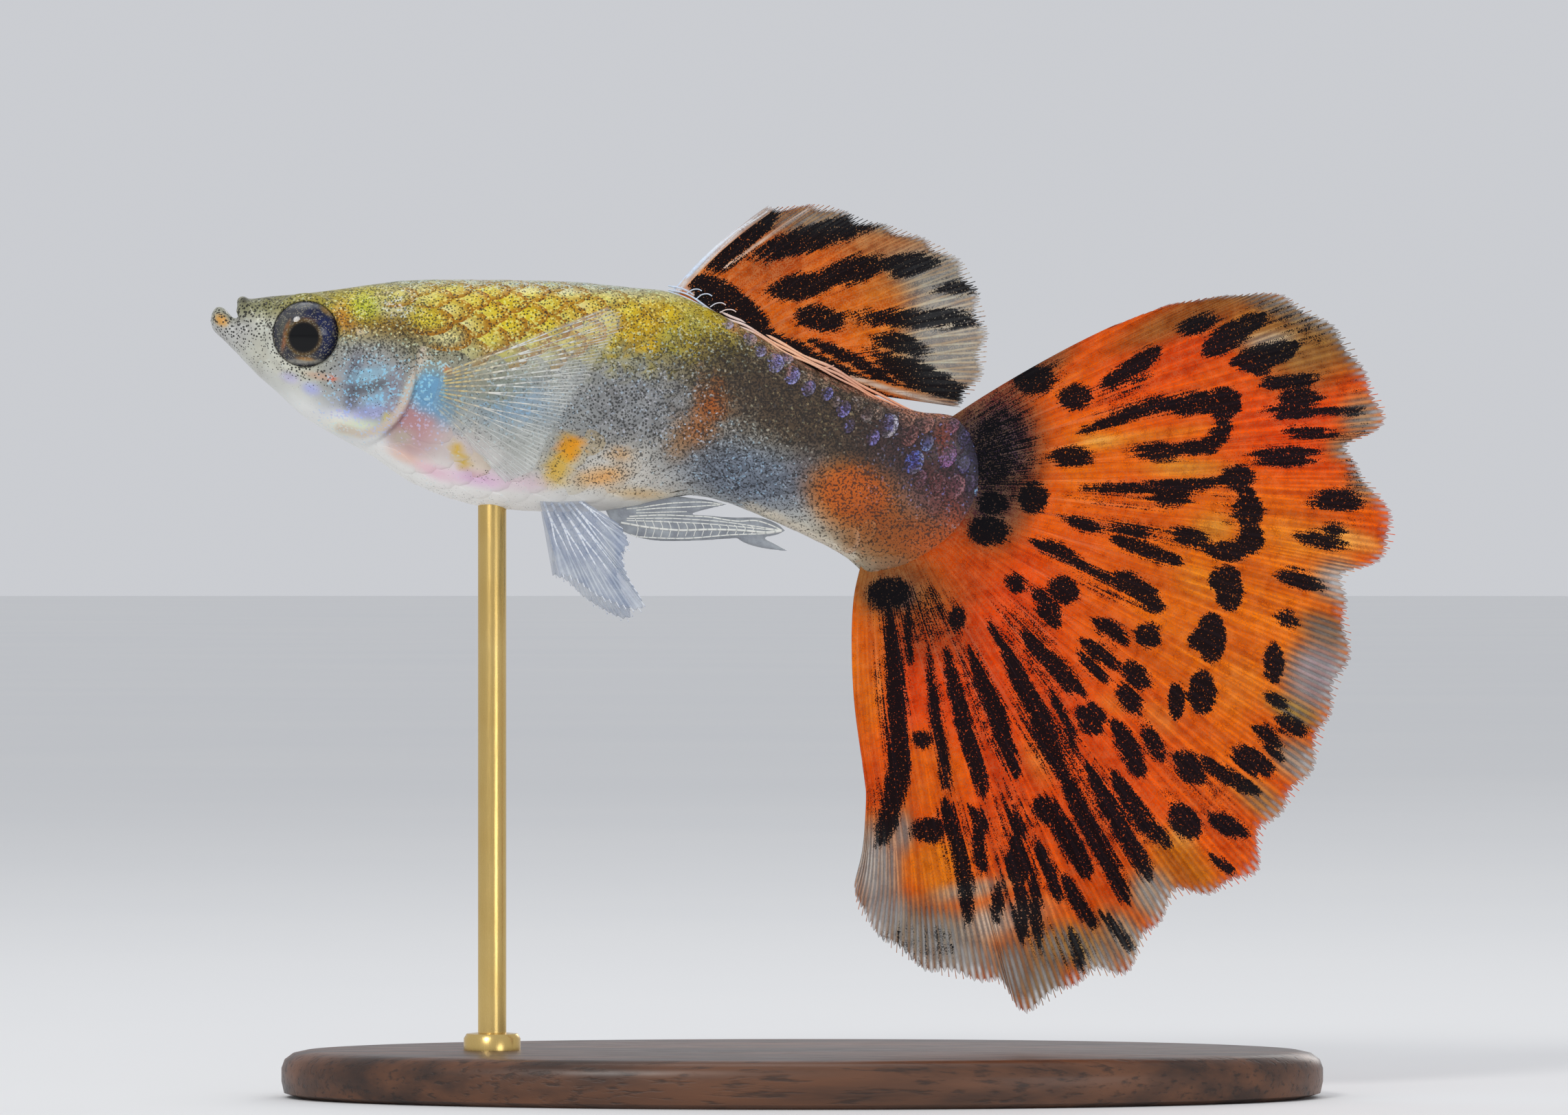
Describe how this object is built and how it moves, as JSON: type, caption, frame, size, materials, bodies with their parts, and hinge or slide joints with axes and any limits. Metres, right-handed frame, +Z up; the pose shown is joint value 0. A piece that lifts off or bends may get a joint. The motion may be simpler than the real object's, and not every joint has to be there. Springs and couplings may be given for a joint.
{
  "type": "fancy guppy",
  "caption": "Life-size model of a male fancy guppy with a broad fan tail and a swept dorsal fin, held above an oval display base by a thin rod.",
  "frame": {"origin": "on the floor, under the middle of the whole object, at the centre of the base's underside", "axes": "-X where the snout points, -Y on the fish's left side, +Z up"},
  "size_m": [0.05, 0.022, 0.0378],
  "materials": {
    "head": "moist skin, olive above and silver below",
    "lower_jaw": "moist pale skin",
    "torso": "fine glossy scales, golden above and silver below",
    "tail_stem": "fine glossy scales, orange and dark violet",
    "eye": "clear glossy",
    "dorsal_fin": "thin satin membrane, orange with black blotches",
    "caudal_fin": "thin satin membrane, orange red with black blotches",
    "clear_fin": "thin milky membrane",
    "pelvic_fin": "thin blue-grey membrane",
    "anal_fin": "clear grey rays",
    "stand_base": "dark oiled wood",
    "stand_rod": "polished"
  },
  "bodies": {
    "root": {"head": "head", "lower_jaw": "lower_jaw", "torso": "torso", "tail_stem": "tail_stem", "eye_left": "eye", "eye_right": "eye", "dorsal_fin": "dorsal_fin", "caudal_fin": "caudal_fin", "pectoral_fin_left": "clear_fin", "pectoral_fin_right": "clear_fin", "pelvic_fin_left": "pelvic_fin", "pelvic_fin_right": "pelvic_fin", "anal_fin": "anal_fin", "stand_base": "stand_base", "stand_rod": "stand_rod"}
  },
  "joints": []
}
